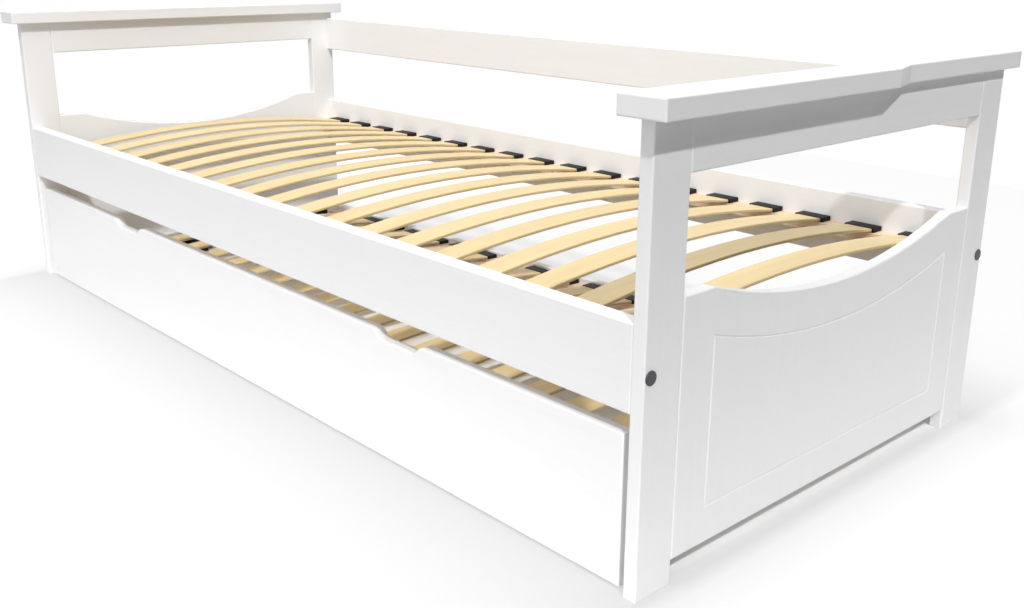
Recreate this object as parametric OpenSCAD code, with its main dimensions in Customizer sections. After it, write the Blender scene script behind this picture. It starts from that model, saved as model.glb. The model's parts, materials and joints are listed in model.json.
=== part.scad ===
// Trundle bed: a daybed for an 80 x 200 cm mattress with a low rolling bed stored under it.
// +X runs along the bed, +Y to its back, +Z up. The origin is on the floor, under the middle.

/* [Daybed frame] */
// Clear length between the two end frames
inner_l = 2005; // [1700:5:2105]
// Depth over the posts, front face to rear face
bed_w = 896; // [780:2:1050]
// Height of the posts
post_h = 638; // [620:2:720]
// Width of a post, front to back
post_w = 71; // [66:1:90]
// Thickness of the end frame boards
wood_t = 22; // [20:1:28]
// Rounding of every painted arris
edge_r = 2.5; // [1:0.25:3.5]

/* [Arm boards] */
// Thickness of an arm board
arm_t = 28; // [24:1:35]
// How far an arm board reaches past the posts' inner faces
arm_in = 18; // [10:1:30]
// How far its wide front part reaches past the posts' outer faces
arm_out_wide = 36; // [30:1:50]
// How far its narrow rear part reaches past them
arm_out_narrow = 15; // [10:1:24]
// How far it reaches past the posts, front and rear
arm_end = 24; // [15:1:40]
// Where the sloped step between the two parts starts
step_start = 39; // [0:1:60]
// Length of the step along the board
step_l = 63; // [50:1:90]

/* [End frames] */
// Height of the upper end rail
end_rail_h = 74; // [60:1:90]
// Underside of an end panel above the floor
panel_z = 37; // [25:1:60]
// Height of an end panel at its shoulders
panel_h = 371; // [355:1:400]
// How far the curved top dips below the shoulders
panel_dip = 51; // [30:1:65]
// Length of the flat shoulder beside each post
shoulder_l = 62; // [40:1:90]
// Distance of the routed line from the posts
groove_side = 67; // [50:1:80]
// Distance of the routed line from the panel's underside
groove_bottom = 57; // [40:1:80]
// Distance of the routed line from the curved top
groove_top = 62; // [45:1:80]
// Depth of the V-shaped routed line
groove_d = 2; // [1:0.25:3]

/* [Side rails] */
// Underside of the two lower rails
rail_z = 262; // [256:1:275]
// Height of the lower rails
rail_h = 121; // [116:1:130]
// Thickness of the front rail
front_rail_t = 28; // [24:1:32]
// Thickness of the rear rail
rear_rail_t = 22; // [20:1:28]
// Distance of the backrest rail's top below the posts' tops
back_rail_drop = 16; // [12:1:40]
// Height of the backrest rail
back_rail_h = 90; // [70:1:95]
// Thickness of the backrest rail
back_rail_t = 18; // [17:1:24]

/* [Slats] */
// Number of slats in the upper deck
slat_n = 18; // [10:1:19]
// Number of slats in the trundle
tray_slat_n = 18; // [10:1:19]
// Width of a slat
slat_w = 53; // [40:1:58]
// Thickness of a slat
slat_t = 6; // [5:0.5:8]
// Rise of an upper slat's middle above the mouths of its caps
slat_crown = 29.5; // [20:0.5:36]
// Rise of a trundle slat's middle above the mouths of its caps
tray_slat_crown = 25; // [16:0.5:32]
// Middle of the first upper slat from the end frame
slat_margin = 79.5; // [60:0.5:90]
// Middle of the trundle's first slat from its side board
tray_slat_margin = 110.5; // [60:0.5:120]
// Top of the upper slats' middle above the floor
deck_z = 362.5; // [355:0.5:370]
// Depth of a slat cap, along the slat
cap_d = 29; // [24:1:36]
// Wall of a slat cap, over and under the slat
cap_wall = 1.3; // [1:0.1:2.5]
// Side wall of a slat cap
cap_side = 3.5; // [2:0.5:6]
// Diameter of the peg under a slat cap
peg_d = 8; // [6:0.5:10]
// Length of the peg in the batten
peg_l = 12; // [8:1:14]
// Width of a slat batten, front to back
batten_w = 30; // [26:1:36]
// Height of a slat batten
batten_h = 20; // [18:1:30]

/* [Trundle] */
// Gap between the trundle's front board and the posts, at each end
trundle_gap = 15.5; // [8:0.5:20]
// Thickness of the front board
front_t = 22; // [20:1:24]
// How far the front board lies behind the posts' front faces
front_recess = 8.5; // [4:0.5:15]
// Underside of the front board above the floor
front_z = 5; // [4:1:12]
// Height of the front board
front_h = 223; // [190:1:235]
// Thickness of the tray's side and back boards
tray_t = 18; // [16:1:22]
// Underside of the tray boards above the floor
tray_z = 8; // [6:1:12]
// Height of the tray boards
tray_h = 58; // [56:1:70]
// How far a side board lies inside the end of the front board
tray_inset = 12; // [6:1:30]
// How far the tray's rear face lies inside the posts' rear faces
tray_rear_gap = 15.5; // [0:0.5:30]
// Top of the trundle's battens above the floor
tray_batten_top = 52; // [50:1:58]
// Distance of each finger notch from the middle of the front board
notch_x = 500; // [300:5:650]
// Length of a notch's flat bottom
notch_flat = 76; // [60:1:110]
// Length of each curved end of a notch
notch_run = 31; // [24:1:40]
// Depth of a notch
notch_d = 15; // [10:1:20]

/* [Casters] */
// Diameter of a wheel
wheel_d = 40; // [34:1:42]
// Width of a wheel
wheel_w = 17; // [12:1:20]
// Diameter of an axle
axle_d = 6; // [5:0.5:8]
// Wall of a caster housing
sheet_t = 2.5; // [1.5:0.25:3]
// Distance of the front and rear axles from the tray's front and back boards
caster_y = 90; // [60:5:150]
// Distance of the middle axles from the tray's front board
caster_mid = 357; // [250:1:450]

/* [Fasteners] */
// Diameter of the wooden dowels
dowel_d = 8; // [6:1:8]
// How deep a dowel sits in a post's face or an arm board
dowel_in = 12; // [8:1:14]
// How deep a dowel sits in the end of a board
dowel_deep = 28; // [20:1:34]
// Diameter of the rail bolts
bolt_d = 6; // [5:0.5:8]
// Diameter of a rail bolt's head
bolt_head_d = 10; // [9:0.5:12]
// Height of the rail bolts above the rails' undersides
bolt_up = 53; // [45:1:65]
// Distance of the rail bolts from the posts' front and rear faces
bolt_inset = 12; // [10.5:0.5:13]
// Diameter of the caps over the rail bolts
bolt_cap_d = 20; // [16:0.5:21]
// Distance of the barrel nuts from the rails' ends
nut_in = 40; // [30:1:50]
// Diameter of the barrel nuts
nut_d = 10; // [9:0.5:12]
// Length of the barrel nuts
nut_l = 16; // [12:1:17]
// Diameter of the cam locks
cam_d = 15; // [12:1:16]
// Distance of a cam lock from the board's end
cam_in = 34; // [24:1:40]
// Diameter of the screws
screw_d = 4; // [3:0.5:5]
// How deep the batten screws bite into the boards behind
screw_bite = 12; // [8:1:14]

/* [Hidden] */
$fn = 48;

// Named clearances
dowel_gap = 0.05;     // round a dowel in its hole
slot_gap = 0.15;      // round a slat in its cap
seat_gap = 0.2;       // between a part and the seat under it
head_gap = 1.5;       // round a bolt's head in its counterbore
hub_gap = 0.08;       // round an axle in its wheel
side_gap = 1;         // between a wheel and its housing
cap_rail_gap = 1;     // between a slat cap and the rail beside it
miter_gap = 0.05;     // how far the sloped cut stands over an arm board's faces
rim_gap = 3;          // over a wheel, under its housing's roof

// Frame planes
half_l = inner_l / 2;
outer_x = half_l + wood_t;
frame_x = half_l + wood_t / 2;
half_w = bed_w / 2;
post_side_y = half_w - post_w;
end_rail_z = post_h - end_rail_h;
back_rail_z = post_h - back_rail_drop - back_rail_h;
rail_in_front = half_w - front_rail_t;
rail_in_rear = half_w - rear_rail_t;
bolt_z = rail_z + bolt_up;
back_rail_y = half_w - back_rail_t / 2;
back_cam_z = back_rail_z + back_rail_h / 2;

// End panel: the dip is one arc between the shoulders
panel_top = panel_z + panel_h;
arc_half = post_side_y - shoulder_l;
arc_r = (arc_half * arc_half + panel_dip * panel_dip) / (2 * panel_dip);
arc_z = panel_top - panel_dip + arc_r;
groove_half = post_side_y - groove_side;
upright_d = 0.85 * groove_d;    // the line's uprights are cut a little less deep
groove_r = arc_r + groove_top;
groove_z = panel_z + groove_bottom;
groove_end_z = arc_z - sqrt(groove_r * groove_r - groove_half * groove_half);

// Slat decks: each slat is an arc that ends in flat tongues, and the tongues sit in the caps
deck_half = (rail_in_front + rail_in_rear) / 2;
deck_y = (rail_in_rear - rail_in_front) / 2;
deck_row = [half_l, slat_n, slat_margin];
deck_arc = slat_arc(deck_half, slat_crown);
slat_edge_r = 2;      // rounding of a slat's long arrises
tongue_back = 0.5;    // the arc ends this far outside the mouth
tongue_in = 0.1;      // a tongue lies this far inside its slat's faces
cap_end = 2;          // closed end of a cap
cap_h = slat_t + 2 * slot_gap + 2 * cap_wall;
cap_w = slat_w + 2 * slot_gap + 2 * cap_side;
cap_round = 1;        // rounding of a cap's long edges
slot_l = cap_d - cap_end;
batten_top = deck_z + mouth_z(deck_arc) - cap_h / 2 - seat_gap;

// Trundle planes
trundle_l = inner_l - 2 * trundle_gap;
front_face_y = -half_w + front_recess;
tray_front_y = front_face_y + front_t;
tray_rear_y = half_w - tray_rear_gap;
tray_back_y = tray_rear_y - tray_t;
tray_x = trundle_l / 2 - tray_inset;
tray_in_x = tray_x - tray_t;
tray_mid_x = tray_x - tray_t / 2;
tray_row = [tray_in_x, tray_slat_n, tray_slat_margin];
tray_deck_y = (tray_front_y + tray_back_y) / 2;
tray_deck_half = (tray_back_y - tray_front_y) / 2;
tray_mid_z = tray_z + tray_h / 2;
tray_arc = slat_arc(tray_deck_half, tray_slat_crown);
tray_deck_z = tray_batten_top + seat_gap + cap_h / 2 - mouth_z(tray_arc);
notch_r = (notch_run * notch_run + notch_d * notch_d) / (4 * notch_d);
notch_steps = 8;      // facets of each arc of a notch's end
front_top = front_z + front_h;

// Casters
axle_z = wheel_d / 2;
housing_in = wheel_w + 2 * side_gap;
housing_x = tray_in_x - sheet_t - housing_in - sheet_t;
wheel_x = tray_in_x - sheet_t - side_gap - wheel_w;
web_z = wheel_d + rim_gap;
cheek_z = tray_z - 3;
plate_half = 50;      // half the length of a housing's plate
plate_top = tray_z + tray_h - 8;
plate_screw_in = 6;   // distance of its screws from its ends
cheek_half = 26;      // half the length of its cheek
caster_ys = [tray_front_y + caster_y, tray_front_y + caster_mid, tray_back_y - caster_y];
axle_head = 1.5;      // height and reach of an axle's head
hub_wall = 3;         // wall of a wheel's hub round its axle
tyre_t = 5;           // depth of its rim
web_in = 3;           // how far its web lies inside its faces
rim_r = 2;            // rounding of its rim

// Dowels: each row is set in from its board's edges
hole_play = 0.5;      // extra depth of a dowel hole at each end
rail_dowel_zs = inset_pair(rail_z, rail_h, 25);
end_dowel_zs = inset_pair(end_rail_z, end_rail_h, 18);
panel_dowel_zs = concat(inset_pair(panel_z, panel_h, 40), [panel_z + panel_h / 2]);
back_dowel_zs = inset_pair(back_rail_z, back_rail_h, 20);
tray_dowel_zs = inset_pair(tray_z, tray_h, 12);
post_mid_y = post_side_y + post_w / 2;
arm_dowel_step = 180; // between the dowels under an arm board
arm_dowel_ys = [-post_mid_y, -arm_dowel_step, 0, arm_dowel_step, post_mid_y];

// Rail bolts
head_l = 6;           // length of a bolt's head
counter_l = 8;        // depth of its counterbore
bolt_tip = nut_in + nut_d;
bolt_play = 0.5;      // round a bolt's shank
key_w = 5.5;          // width of the hexagon socket in its head
key_l = 3;            // depth of that socket
nut_slot_l = 6;       // screwdriver slot in a barrel nut
nut_slot_w = 1.2;
nut_slot_d = 1.5;
bolt_cap_t = 1.8;     // thickness of a bolt cap
bolt_cap_bevel = 1.5; // its sloped edge
bolt_cap_plug = 1.5;  // its plug

// Cam fittings: a cam bolt is screwed into one board and held by a cam lock in the other
cam_bolt_d = 7;       // head and collar
cam_neck_d = 5;       // neck and screw
cam_screw_l = 11;
cam_head_l = 6;
cam_skin = 2;         // wall of a lock behind the bolt
cam_cross_l = 8;      // arms of the cross slot in a lock
cam_cross_w = 1.2;
cam_cross_d = 2;

// Screw heads
head_share = 0.55;    // height of a countersunk head, in screw diameters
head_d = 2 * screw_d;
batten_screw_n = 5;   // screws in each batten

// Shared shapes

// Flat outline with rounded corners, from the origin
module rounded(a, b, r) {
    translate([r, 0]) square([a - 2 * r, b]);
    translate([0, r]) square([a, b - 2 * r]);
    for (x = [r, a - r], y = [r, b - r]) translate([x, y]) circle(r = r);
}

// Board with all its arrises rounded, from one corner
module board(size, r = edge_r) {
    intersection() {
        linear_extrude(size.z) rounded(size.x, size.y, r);
        translate([0, size.y, 0]) rotate([90, 0, 0])
            linear_extrude(size.y) rounded(size.x, size.z, r);
        rotate([90, 0, 90]) linear_extrude(size.x) rounded(size.y, size.z, r);
    }
}

module along_x(p, d, l) {
    translate(p) rotate([0, 90, 0]) cylinder(d = d, h = l);
}

module along_y(p, d, l) {
    translate(p) rotate([-90, 0, 0]) cylinder(d = d, h = l);
}

module both_x() {
    children();
    mirror([1, 0, 0]) children();
}

module both_y() {
    children();
    mirror([0, 1, 0]) children();
}

// Joints of the daybed frame, drawn for its right-hand end
// As a hole, a dowel is wider by its clearance and longer by its play at both ends

function inset_pair(low, size, inset) = [low + inset, low + size - inset];
function rail_y(front) = front ? -half_w + front_rail_t / 2 : half_w - rear_rail_t / 2;
function bolt_y(front) = front ? -half_w + bolt_inset : half_w - bolt_inset;

// Dowel along +Z whose joint plane is at the origin, with one length below it and one above
module dowel(below, above, hole) {
    play = hole ? hole_play : 0;
    translate([0, 0, -below - play])
        cylinder(d = dowel_d + (hole ? 2 * dowel_gap : 0), h = below + above + 2 * play);
}

module rail_dowel_pair(front, hole = false) {
    for (z = rail_dowel_zs)
        translate([half_l, rail_y(front), z]) rotate([0, 90, 0]) dowel(dowel_deep, dowel_in, hole);
}

module end_dowel_row(hole = false) {
    for (z = concat(end_dowel_zs, panel_dowel_zs))
        translate([frame_x, -post_side_y, z]) rotate([-90, 0, 0]) dowel(dowel_deep, dowel_deep, hole);
}

module arm_dowel_row(hole = false) {
    for (y = arm_dowel_ys) translate([frame_x, y, post_h]) dowel(dowel_in, dowel_in, hole);
}

module back_dowel_pair(hole = false) {
    for (z = back_dowel_zs)
        translate([half_l, back_rail_y, z]) rotate([0, 90, 0]) dowel(dowel_deep, dowel_in, hole);
}

module bolt_bore(front) {
    bore_l = bolt_tip + 2;
    bore_d = bolt_d + 2 * bolt_play;
    along_x([half_l - bore_l, bolt_y(front), bolt_z], bore_d, bore_l + wood_t + 1);
    along_x([outer_x - counter_l, bolt_y(front), bolt_z], bolt_head_d + 2 * head_gap, counter_l + 1);
}

module nut_bore(front) {
    inner_y = front ? -rail_in_front : rail_in_rear;
    floor_y = bolt_y(front) + (front ? -1 : 1) * (nut_l / 2 + seat_gap);
    along_y([half_l - nut_in, min(inner_y - 1, floor_y), bolt_z],
        nut_d + 2 * dowel_gap, abs(inner_y - floor_y) + 1);
}

// Cam bolt and cam lock between a board's end and the face it meets.
// The joint is at the origin, the board runs along -X and the lock is let in from +Y.
module cam_bolt_shape(g = 0) {
    tip = cam_in - cam_d / 2 + cam_head_l;
    collar_l = cam_in - cam_d / 2 - cam_skin - 1;
    along_x([-tip - g, 0, 0], cam_bolt_d + 2 * g, cam_head_l + 2 * g);
    along_x([-tip + cam_head_l / 2, 0, 0], cam_neck_d + 2 * g, tip + cam_screw_l - cam_head_l / 2);
    along_x([-collar_l, 0, 0], cam_bolt_d + 2 * g, collar_l);
}

module cam_bolt_bore(screw_l) {
    along_x([-cam_in, 0, 0], cam_bolt_d + 2 * dowel_gap, cam_in + hole_play);
    along_x([-hole_play, 0, 0], cam_neck_d + 2 * dowel_gap, screw_l + hole_play);
}

// Arm of the cross slot, centred on the lock's face
module cam_slot(l, w) {
    translate([-l / 2, -cam_cross_d, -w / 2]) cube([l, cam_cross_d + 1, w]);
}

// The lock fills its bore from behind the bolt to the board's face
module cam_lock_shape(board_t) {
    difference() {
        along_y([-cam_in, -cam_bolt_d / 2 - cam_skin, 0], cam_d,
            board_t / 2 + cam_bolt_d / 2 + cam_skin - 1);
        cam_bolt_shape(seat_gap);
        translate([-cam_in, board_t / 2 - 1, 0]) {
            cam_slot(cam_cross_l, cam_cross_w);
            cam_slot(cam_cross_w, cam_cross_l);
        }
    }
}

module cam_lock_bore(board_t) {
    along_y([-cam_in, -cam_bolt_d / 2 - cam_skin - seat_gap, 0], cam_d + 2 * dowel_gap, board_t);
}

// End frames, drawn for the right-hand end

module post(front) {
    difference() {
        translate([half_l, front ? -half_w : post_side_y, 0]) board([wood_t, post_w, post_h]);
        rail_dowel_pair(front, true);
        bolt_bore(front);
        mirror([0, front ? 0 : 1, 0]) end_dowel_row(true);
        arm_dowel_row(true);
        if (!front) {
            back_dowel_pair(true);
            translate([half_l, back_rail_y, back_cam_z]) cam_bolt_bore(cam_screw_l + hole_play);
        }
    }
}

// Straight V-shaped cut of the given depth into the outer face, centred on p
module groove_bar(p, depth, along_z, l) {
    side = depth * sqrt(2);
    translate(p) rotate([along_z ? 0 : 90, 0, 0]) rotate([0, 0, 45])
        translate([-side / 2, -side / 2, -l / 2]) cube([side, side, l]);
}

module end_panel() {
    difference() {
        intersection() {
            translate([half_l, -post_side_y, panel_z]) board([wood_t, 2 * post_side_y, panel_h]);
            translate([half_l, 0, arc_z]) rotate([0, 90, 0]) rotate_extrude($fn = 360)
                translate([arc_r, 0]) rounded(panel_h + shoulder_l, wood_t, edge_r);
        }
        both_y() end_dowel_row(true);
        // Routed line: two uprights, a foot and an arc that keeps its distance from the top
        for (y = [-groove_half, groove_half])
            groove_bar([outer_x, y, (groove_z + groove_end_z) / 2], upright_d, true,
                groove_end_z - groove_z + groove_d);
        groove_bar([outer_x, 0, groove_z], groove_d, false, 2 * groove_half + groove_d);
        intersection() {
            translate([outer_x, 0, arc_z]) rotate([0, 90, 0]) rotate_extrude($fn = 360)
                polygon([[groove_r - groove_d, 0], [groove_r, -groove_d],
                    [groove_r + groove_d, 0], [groove_r, groove_d]]);
            translate([half_l, -groove_half - groove_d / 2, panel_z])
                cube([2 * wood_t, 2 * groove_half + groove_d, panel_h]);
        }
    }
}

module end_rail() {
    difference() {
        translate([half_l, -post_side_y, end_rail_z]) board([wood_t, 2 * post_side_y, end_rail_h]);
        both_y() end_dowel_row(true);
        arm_dowel_row(true);
    }
}

// The narrow part runs the whole length, and the wide part ends in a sloped step
module arm_board() {
    slope = atan((arm_out_wide - arm_out_narrow) / step_l);
    narrow_w = arm_in + wood_t + arm_out_narrow;
    wide_w = arm_in + wood_t + arm_out_wide;
    arm_l = bed_w + 2 * arm_end;
    wide_l = half_w + arm_end + step_start + 2 * step_l;
    difference() {
        translate([half_l - arm_in, -half_w - arm_end, post_h]) union() {
            board([narrow_w, arm_l, arm_t]);
            intersection() {
                board([wide_w, wide_l, arm_t]);
                translate([wide_w, half_w + arm_end + step_start, -miter_gap]) rotate([0, 0, slope])
                    translate([-wide_l, -wide_l, 0]) board([wide_l, 2 * wide_l, arm_t + 2 * miter_gap]);
            }
        }
        arm_dowel_row(true);
    }
}

// Rails

module low_rail(front) {
    rail_t = front ? front_rail_t : rear_rail_t;
    difference() {
        translate([-half_l, front ? -half_w : rail_in_rear, rail_z]) board([inner_l, rail_t, rail_h]);
        both_x() {
            rail_dowel_pair(front, true);
            bolt_bore(front);
            nut_bore(front);
        }
        batten_screw_row(deck_row, front ? -rail_in_front : rail_in_rear, front ? -1 : 1, batten_top);
    }
}

module back_rail_board() {
    difference() {
        translate([-half_l, half_w - back_rail_t, back_rail_z]) board([inner_l, back_rail_t, back_rail_h]);
        both_x() {
            back_dowel_pair(true);
            translate([half_l, back_rail_y, back_cam_z]) {
                cam_bolt_bore(hole_play);
                cam_lock_bore(back_rail_t);
            }
        }
    }
}

// Slat decks

// A row of slats is given by its half length, its number of slats and their margin
function slat_x(row, i) = -row[0] + row[2] + i * 2 * (row[0] - row[2]) / (row[1] - 1);

// A slat's arc is given by the distance of its caps' mouths from its middle, and its radius
function arc_radius(mouth, crown) = (mouth * mouth + crown * crown) / (2 * crown);
function slat_arc(half, crown) =
    [half - cap_rail_gap - cap_d, arc_radius(half - cap_rail_gap - cap_d, crown)];

// Angle at which the arc ends, and height of the tongues' middle relative to the slat's top
function mouth_angle(arc) = asin((arc[0] - tongue_back) / (arc[1] - slat_t / 2));
function mouth_z(arc) = (arc[1] - slat_t / 2) * cos(mouth_angle(arc)) - arc[1];

// Slat section swept straight along +Y, widened by g
module slat_bar(l, g) {
    translate([-slat_w / 2 - g, l, -slat_t / 2 - g]) rotate([90, 0, 0]) linear_extrude(l)
        rounded(slat_w + 2 * g, slat_t + 2 * g, slat_edge_r + g);
}

// Slat whose middle's top is at the origin
module slat(arc) {
    a = mouth_angle(arc);
    translate([0, 0, -arc[1]]) rotate([0, -90, 0]) rotate([0, 0, -a])
        rotate_extrude(angle = 2 * a, $fn = 720)
            translate([arc[1] - slat_t, -slat_w / 2]) rounded(slat_t, slat_w, slat_edge_r);
    both_y() translate([0, arc[0] - 2 * tongue_back, mouth_z(arc)])
        slat_bar(slot_l - slot_gap + 2 * tongue_back, -tongue_in);
}

// Slat cap at the +Y end of a slat whose middle's top is at the origin
module slat_cap(arc) {
    translate([0, arc[0], mouth_z(arc)]) difference() {
        union() {
            translate([-cap_w / 2, 0, -cap_h / 2])
                rotate([90, 0, 90]) linear_extrude(cap_w) rounded(cap_d, cap_h, cap_round);
            translate([0, cap_d / 2, -cap_h / 2 - peg_l])
                cylinder(d = peg_d, h = peg_l + cap_wall / 2);
        }
        translate([0, -1, 0]) slat_bar(slot_l + 1, slot_gap);
    }
}

module slats(row, y, z, arc) {
    for (i = [0 : row[1] - 1]) translate([slat_x(row, i), y, z]) slat(arc);
}

module caps(row, y, z, arc, side) {
    for (i = [0 : row[1] - 1])
        translate([slat_x(row, i), y, z]) mirror([0, side < 0 ? 1 : 0, 0]) slat_cap(arc);
}

// Batten whose outer face lies at y, on the side that side points to
module batten(row, y, side, top) {
    peg_y = y - side * (cap_rail_gap + cap_d / 2);
    difference() {
        translate([-row[0], side < 0 ? y : y - batten_w, top - batten_h])
            board([2 * row[0], batten_w, batten_h], 1);
        for (i = [0 : row[1] - 1])
            translate([slat_x(row, i), peg_y, top - peg_l - hole_play])
                cylinder(d = peg_d + 2 * dowel_gap, h = peg_l + 2 * hole_play);
        batten_screw_row(row, y, side, top);
    }
}

// Screws through a batten into the board behind it, each between two slats
module batten_screw_row(row, y, side, top) {
    for (k = [0 : batten_screw_n - 1])
        translate([slat_x(row, round(k * (row[1] - 2) / (batten_screw_n - 1)) + 0.5), y,
            top - batten_h / 2])
            mirror([0, side < 0 ? 1 : 0, 0]) screw_shape(batten_w, screw_bite);
}

// Countersunk screw whose joint plane is at the origin; it bites towards +Y
module screw_shape(clamp, bite) {
    translate([0, -clamp, 0]) rotate([-90, 0, 0]) {
        cylinder(d1 = head_d, d2 = screw_d, h = head_share * screw_d);
        cylinder(d = screw_d, h = clamp + bite);
    }
}

// Trundle

// Finger notch whose ends are S-curves of two equal arcs, cut down from the origin's height
module notch_outline() {
    flat = notch_flat / 2;
    turn = 2 * atan(notch_d / notch_run);
    low = [for (i = [0 : notch_steps]) let (a = turn * i / notch_steps)
        [flat + notch_r * sin(a), notch_r * (1 - cos(a)) - notch_d]];
    high = [for (i = [notch_steps - 1 : -1 : 0]) let (a = turn * i / notch_steps)
        [flat + notch_run - notch_r * sin(a), notch_r * (cos(a) - 1)]];
    side = concat(low, high, [[flat + notch_run, 1]]);
    polygon(concat(side, [for (i = [len(side) - 1 : -1 : 0]) [-side[i].x, side[i].y]]));
}

module trundle_front_board() {
    difference() {
        translate([-trundle_l / 2, front_face_y, front_z]) board([trundle_l, front_t, front_h]);
        for (x = [-notch_x, notch_x])
            translate([x, tray_front_y + 1, front_top]) rotate([90, 0, 0])
                linear_extrude(front_t + 2) notch_outline();
        both_x() tray_dowel_pair(true);
        both_x() tray_cam() cam_bolt_bore(cam_screw_l + hole_play);
        batten_screw_row(tray_row, tray_front_y, -1, tray_batten_top);
    }
}

module tray_dowel_pair(hole = false) {
    for (z = tray_dowel_zs)
        translate([tray_mid_x, tray_front_y, z]) rotate([-90, 0, 0]) dowel(dowel_in, dowel_deep, hole);
}

// Places a cam fitting in the right side board: bolt towards the front, lock from outside
module tray_cam() {
    translate([tray_mid_x, tray_front_y, tray_mid_z]) rotate([0, 0, -90]) children();
}

module tray_screw_pair() {
    for (z = tray_dowel_zs)
        translate([tray_mid_x, tray_back_y, z]) mirror([0, 1, 0])
            screw_shape(tray_t, 2 * screw_bite);
}

module tray_side() {
    difference() {
        translate([tray_in_x, tray_front_y, tray_z])
            board([tray_t, tray_back_y - tray_front_y, tray_h]);
        tray_dowel_pair(true);
        tray_cam() {
            cam_bolt_bore(hole_play);
            cam_lock_bore(tray_t);
        }
        tray_screw_pair();
        for (y = caster_ys) translate([tray_in_x, y, 0]) housing_screws();
    }
}

module tray_back() {
    difference() {
        translate([-tray_x, tray_back_y, tray_z]) board([2 * tray_x, tray_t, tray_h]);
        both_x() tray_screw_pair();
        batten_screw_row(tray_row, tray_back_y, 1, tray_batten_top);
    }
}

// Casters, drawn for the right-hand side board

module housing_screws() {
    for (s = [-1, 1])
        translate([0, s * (plate_half - plate_screw_in), (cheek_z + plate_top) / 2])
            rotate([0, 0, -90]) screw_shape(sheet_t, screw_bite);
}

module caster_housing(y) {
    cheek_h = web_z + sheet_t - cheek_z;
    difference() {
        translate([0, y, 0]) {
            translate([tray_in_x - sheet_t, -plate_half, cheek_z])
                cube([sheet_t, 2 * plate_half, plate_top - cheek_z]);
            translate([housing_x, -cheek_half, web_z])
                cube([tray_in_x - housing_x, 2 * cheek_half, sheet_t]);
            translate([housing_x, -cheek_half, cheek_z])
                cube([sheet_t, 2 * cheek_half, cheek_h]);
        }
        along_x([housing_x - 1, y, axle_z], axle_d, housing_in + 2 * sheet_t + 2);
        translate([tray_in_x, y, 0]) housing_screws();
    }
}

module caster_axle(y) {
    along_x([housing_x, y, axle_z], axle_d, housing_in + 2 * sheet_t);
    along_x([housing_x - axle_head, y, axle_z], axle_d + 2 * axle_head, axle_head);
}

// Wheel with a rim, a thinner web and a hub, turned as one section
module wheel(y) {
    bore_r = axle_d / 2 + hub_gap;
    hub_r = axle_d / 2 + hub_wall;
    well = wheel_d / 2 - tyre_t - hub_r;
    translate([wheel_x, y, axle_z]) rotate([0, 90, 0]) rotate_extrude($fn = 96)
        difference() {
            union() {
                translate([bore_r, 0]) square([hub_r, wheel_w]);
                translate([hub_r, 0]) rounded(wheel_d / 2 - hub_r, wheel_w, rim_r);
            }
            for (z = [-1, wheel_w - web_in]) translate([hub_r, z]) square([well, web_in + 1]);
        }
}

// Fastener groups

module rail_bolt(front) {
    y = bolt_y(front);
    difference() {
        union() {
            along_x([outer_x - counter_l, y, bolt_z], bolt_head_d, head_l);
            along_x([half_l - bolt_tip, y, bolt_z], bolt_d, bolt_tip + wood_t - counter_l + 1);
        }
        translate([outer_x - counter_l + head_l - key_l, y, bolt_z]) rotate([0, 90, 0])
            cylinder(d = key_w, h = key_l + 1, $fn = 6);
    }
}

module barrel_nut(front) {
    y = bolt_y(front);
    difference() {
        along_y([half_l - nut_in, y - nut_l / 2, bolt_z], nut_d, nut_l);
        along_x([half_l - nut_in - nut_d, y, bolt_z], bolt_d, 2 * nut_d);
        translate([half_l - nut_in, y + (front ? 1 : -1) * nut_l / 2, bolt_z])
            cube([nut_slot_l, 2 * nut_slot_d, nut_slot_w], center = true);
    }
}

// Low dome over a bolt, with a plug that fills the counterbore's mouth
module bolt_cap(front) {
    half_t = bolt_cap_t / 2;
    plug_d = bolt_head_d + 2 * (head_gap - dowel_gap);
    translate([outer_x, bolt_y(front), bolt_z]) rotate([0, 90, 0]) {
        cylinder(d = bolt_cap_d, h = half_t);
        translate([0, 0, half_t])
            cylinder(d1 = bolt_cap_d, d2 = bolt_cap_d - 2 * bolt_cap_bevel, h = half_t);
        translate([0, 0, -bolt_cap_plug]) cylinder(d = plug_d, h = bolt_cap_plug + half_t);
    }
}

// Sub-parts

module post_front_left() color("white") mirror([1, 0, 0]) post(true);
module post_front_right() color("white") post(true);
module post_rear_left() color("white") mirror([1, 0, 0]) post(false);
module post_rear_right() color("white") post(false);
module end_panel_left() color("white") rotate([0, 0, 180]) end_panel();
module end_panel_right() color("white") end_panel();
module end_rail_left() color("white") mirror([1, 0, 0]) end_rail();
module end_rail_right() color("white") end_rail();
module arm_board_left() color("white") mirror([1, 0, 0]) arm_board();
module arm_board_right() color("white") arm_board();
module front_rail() color("white") low_rail(true);
module rear_rail() color("white") low_rail(false);
module back_rail() color("white") back_rail_board();

module batten_front() color("burlywood") batten(deck_row, -rail_in_front, -1, batten_top);
module batten_rear() color("burlywood") batten(deck_row, rail_in_rear, 1, batten_top);
module bed_slats() color("wheat") slats(deck_row, deck_y, deck_z, deck_arc);
module slat_caps_front() color("black") caps(deck_row, deck_y, deck_z, deck_arc, -1);
module slat_caps_rear() color("black") caps(deck_row, deck_y, deck_z, deck_arc, 1);

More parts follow.
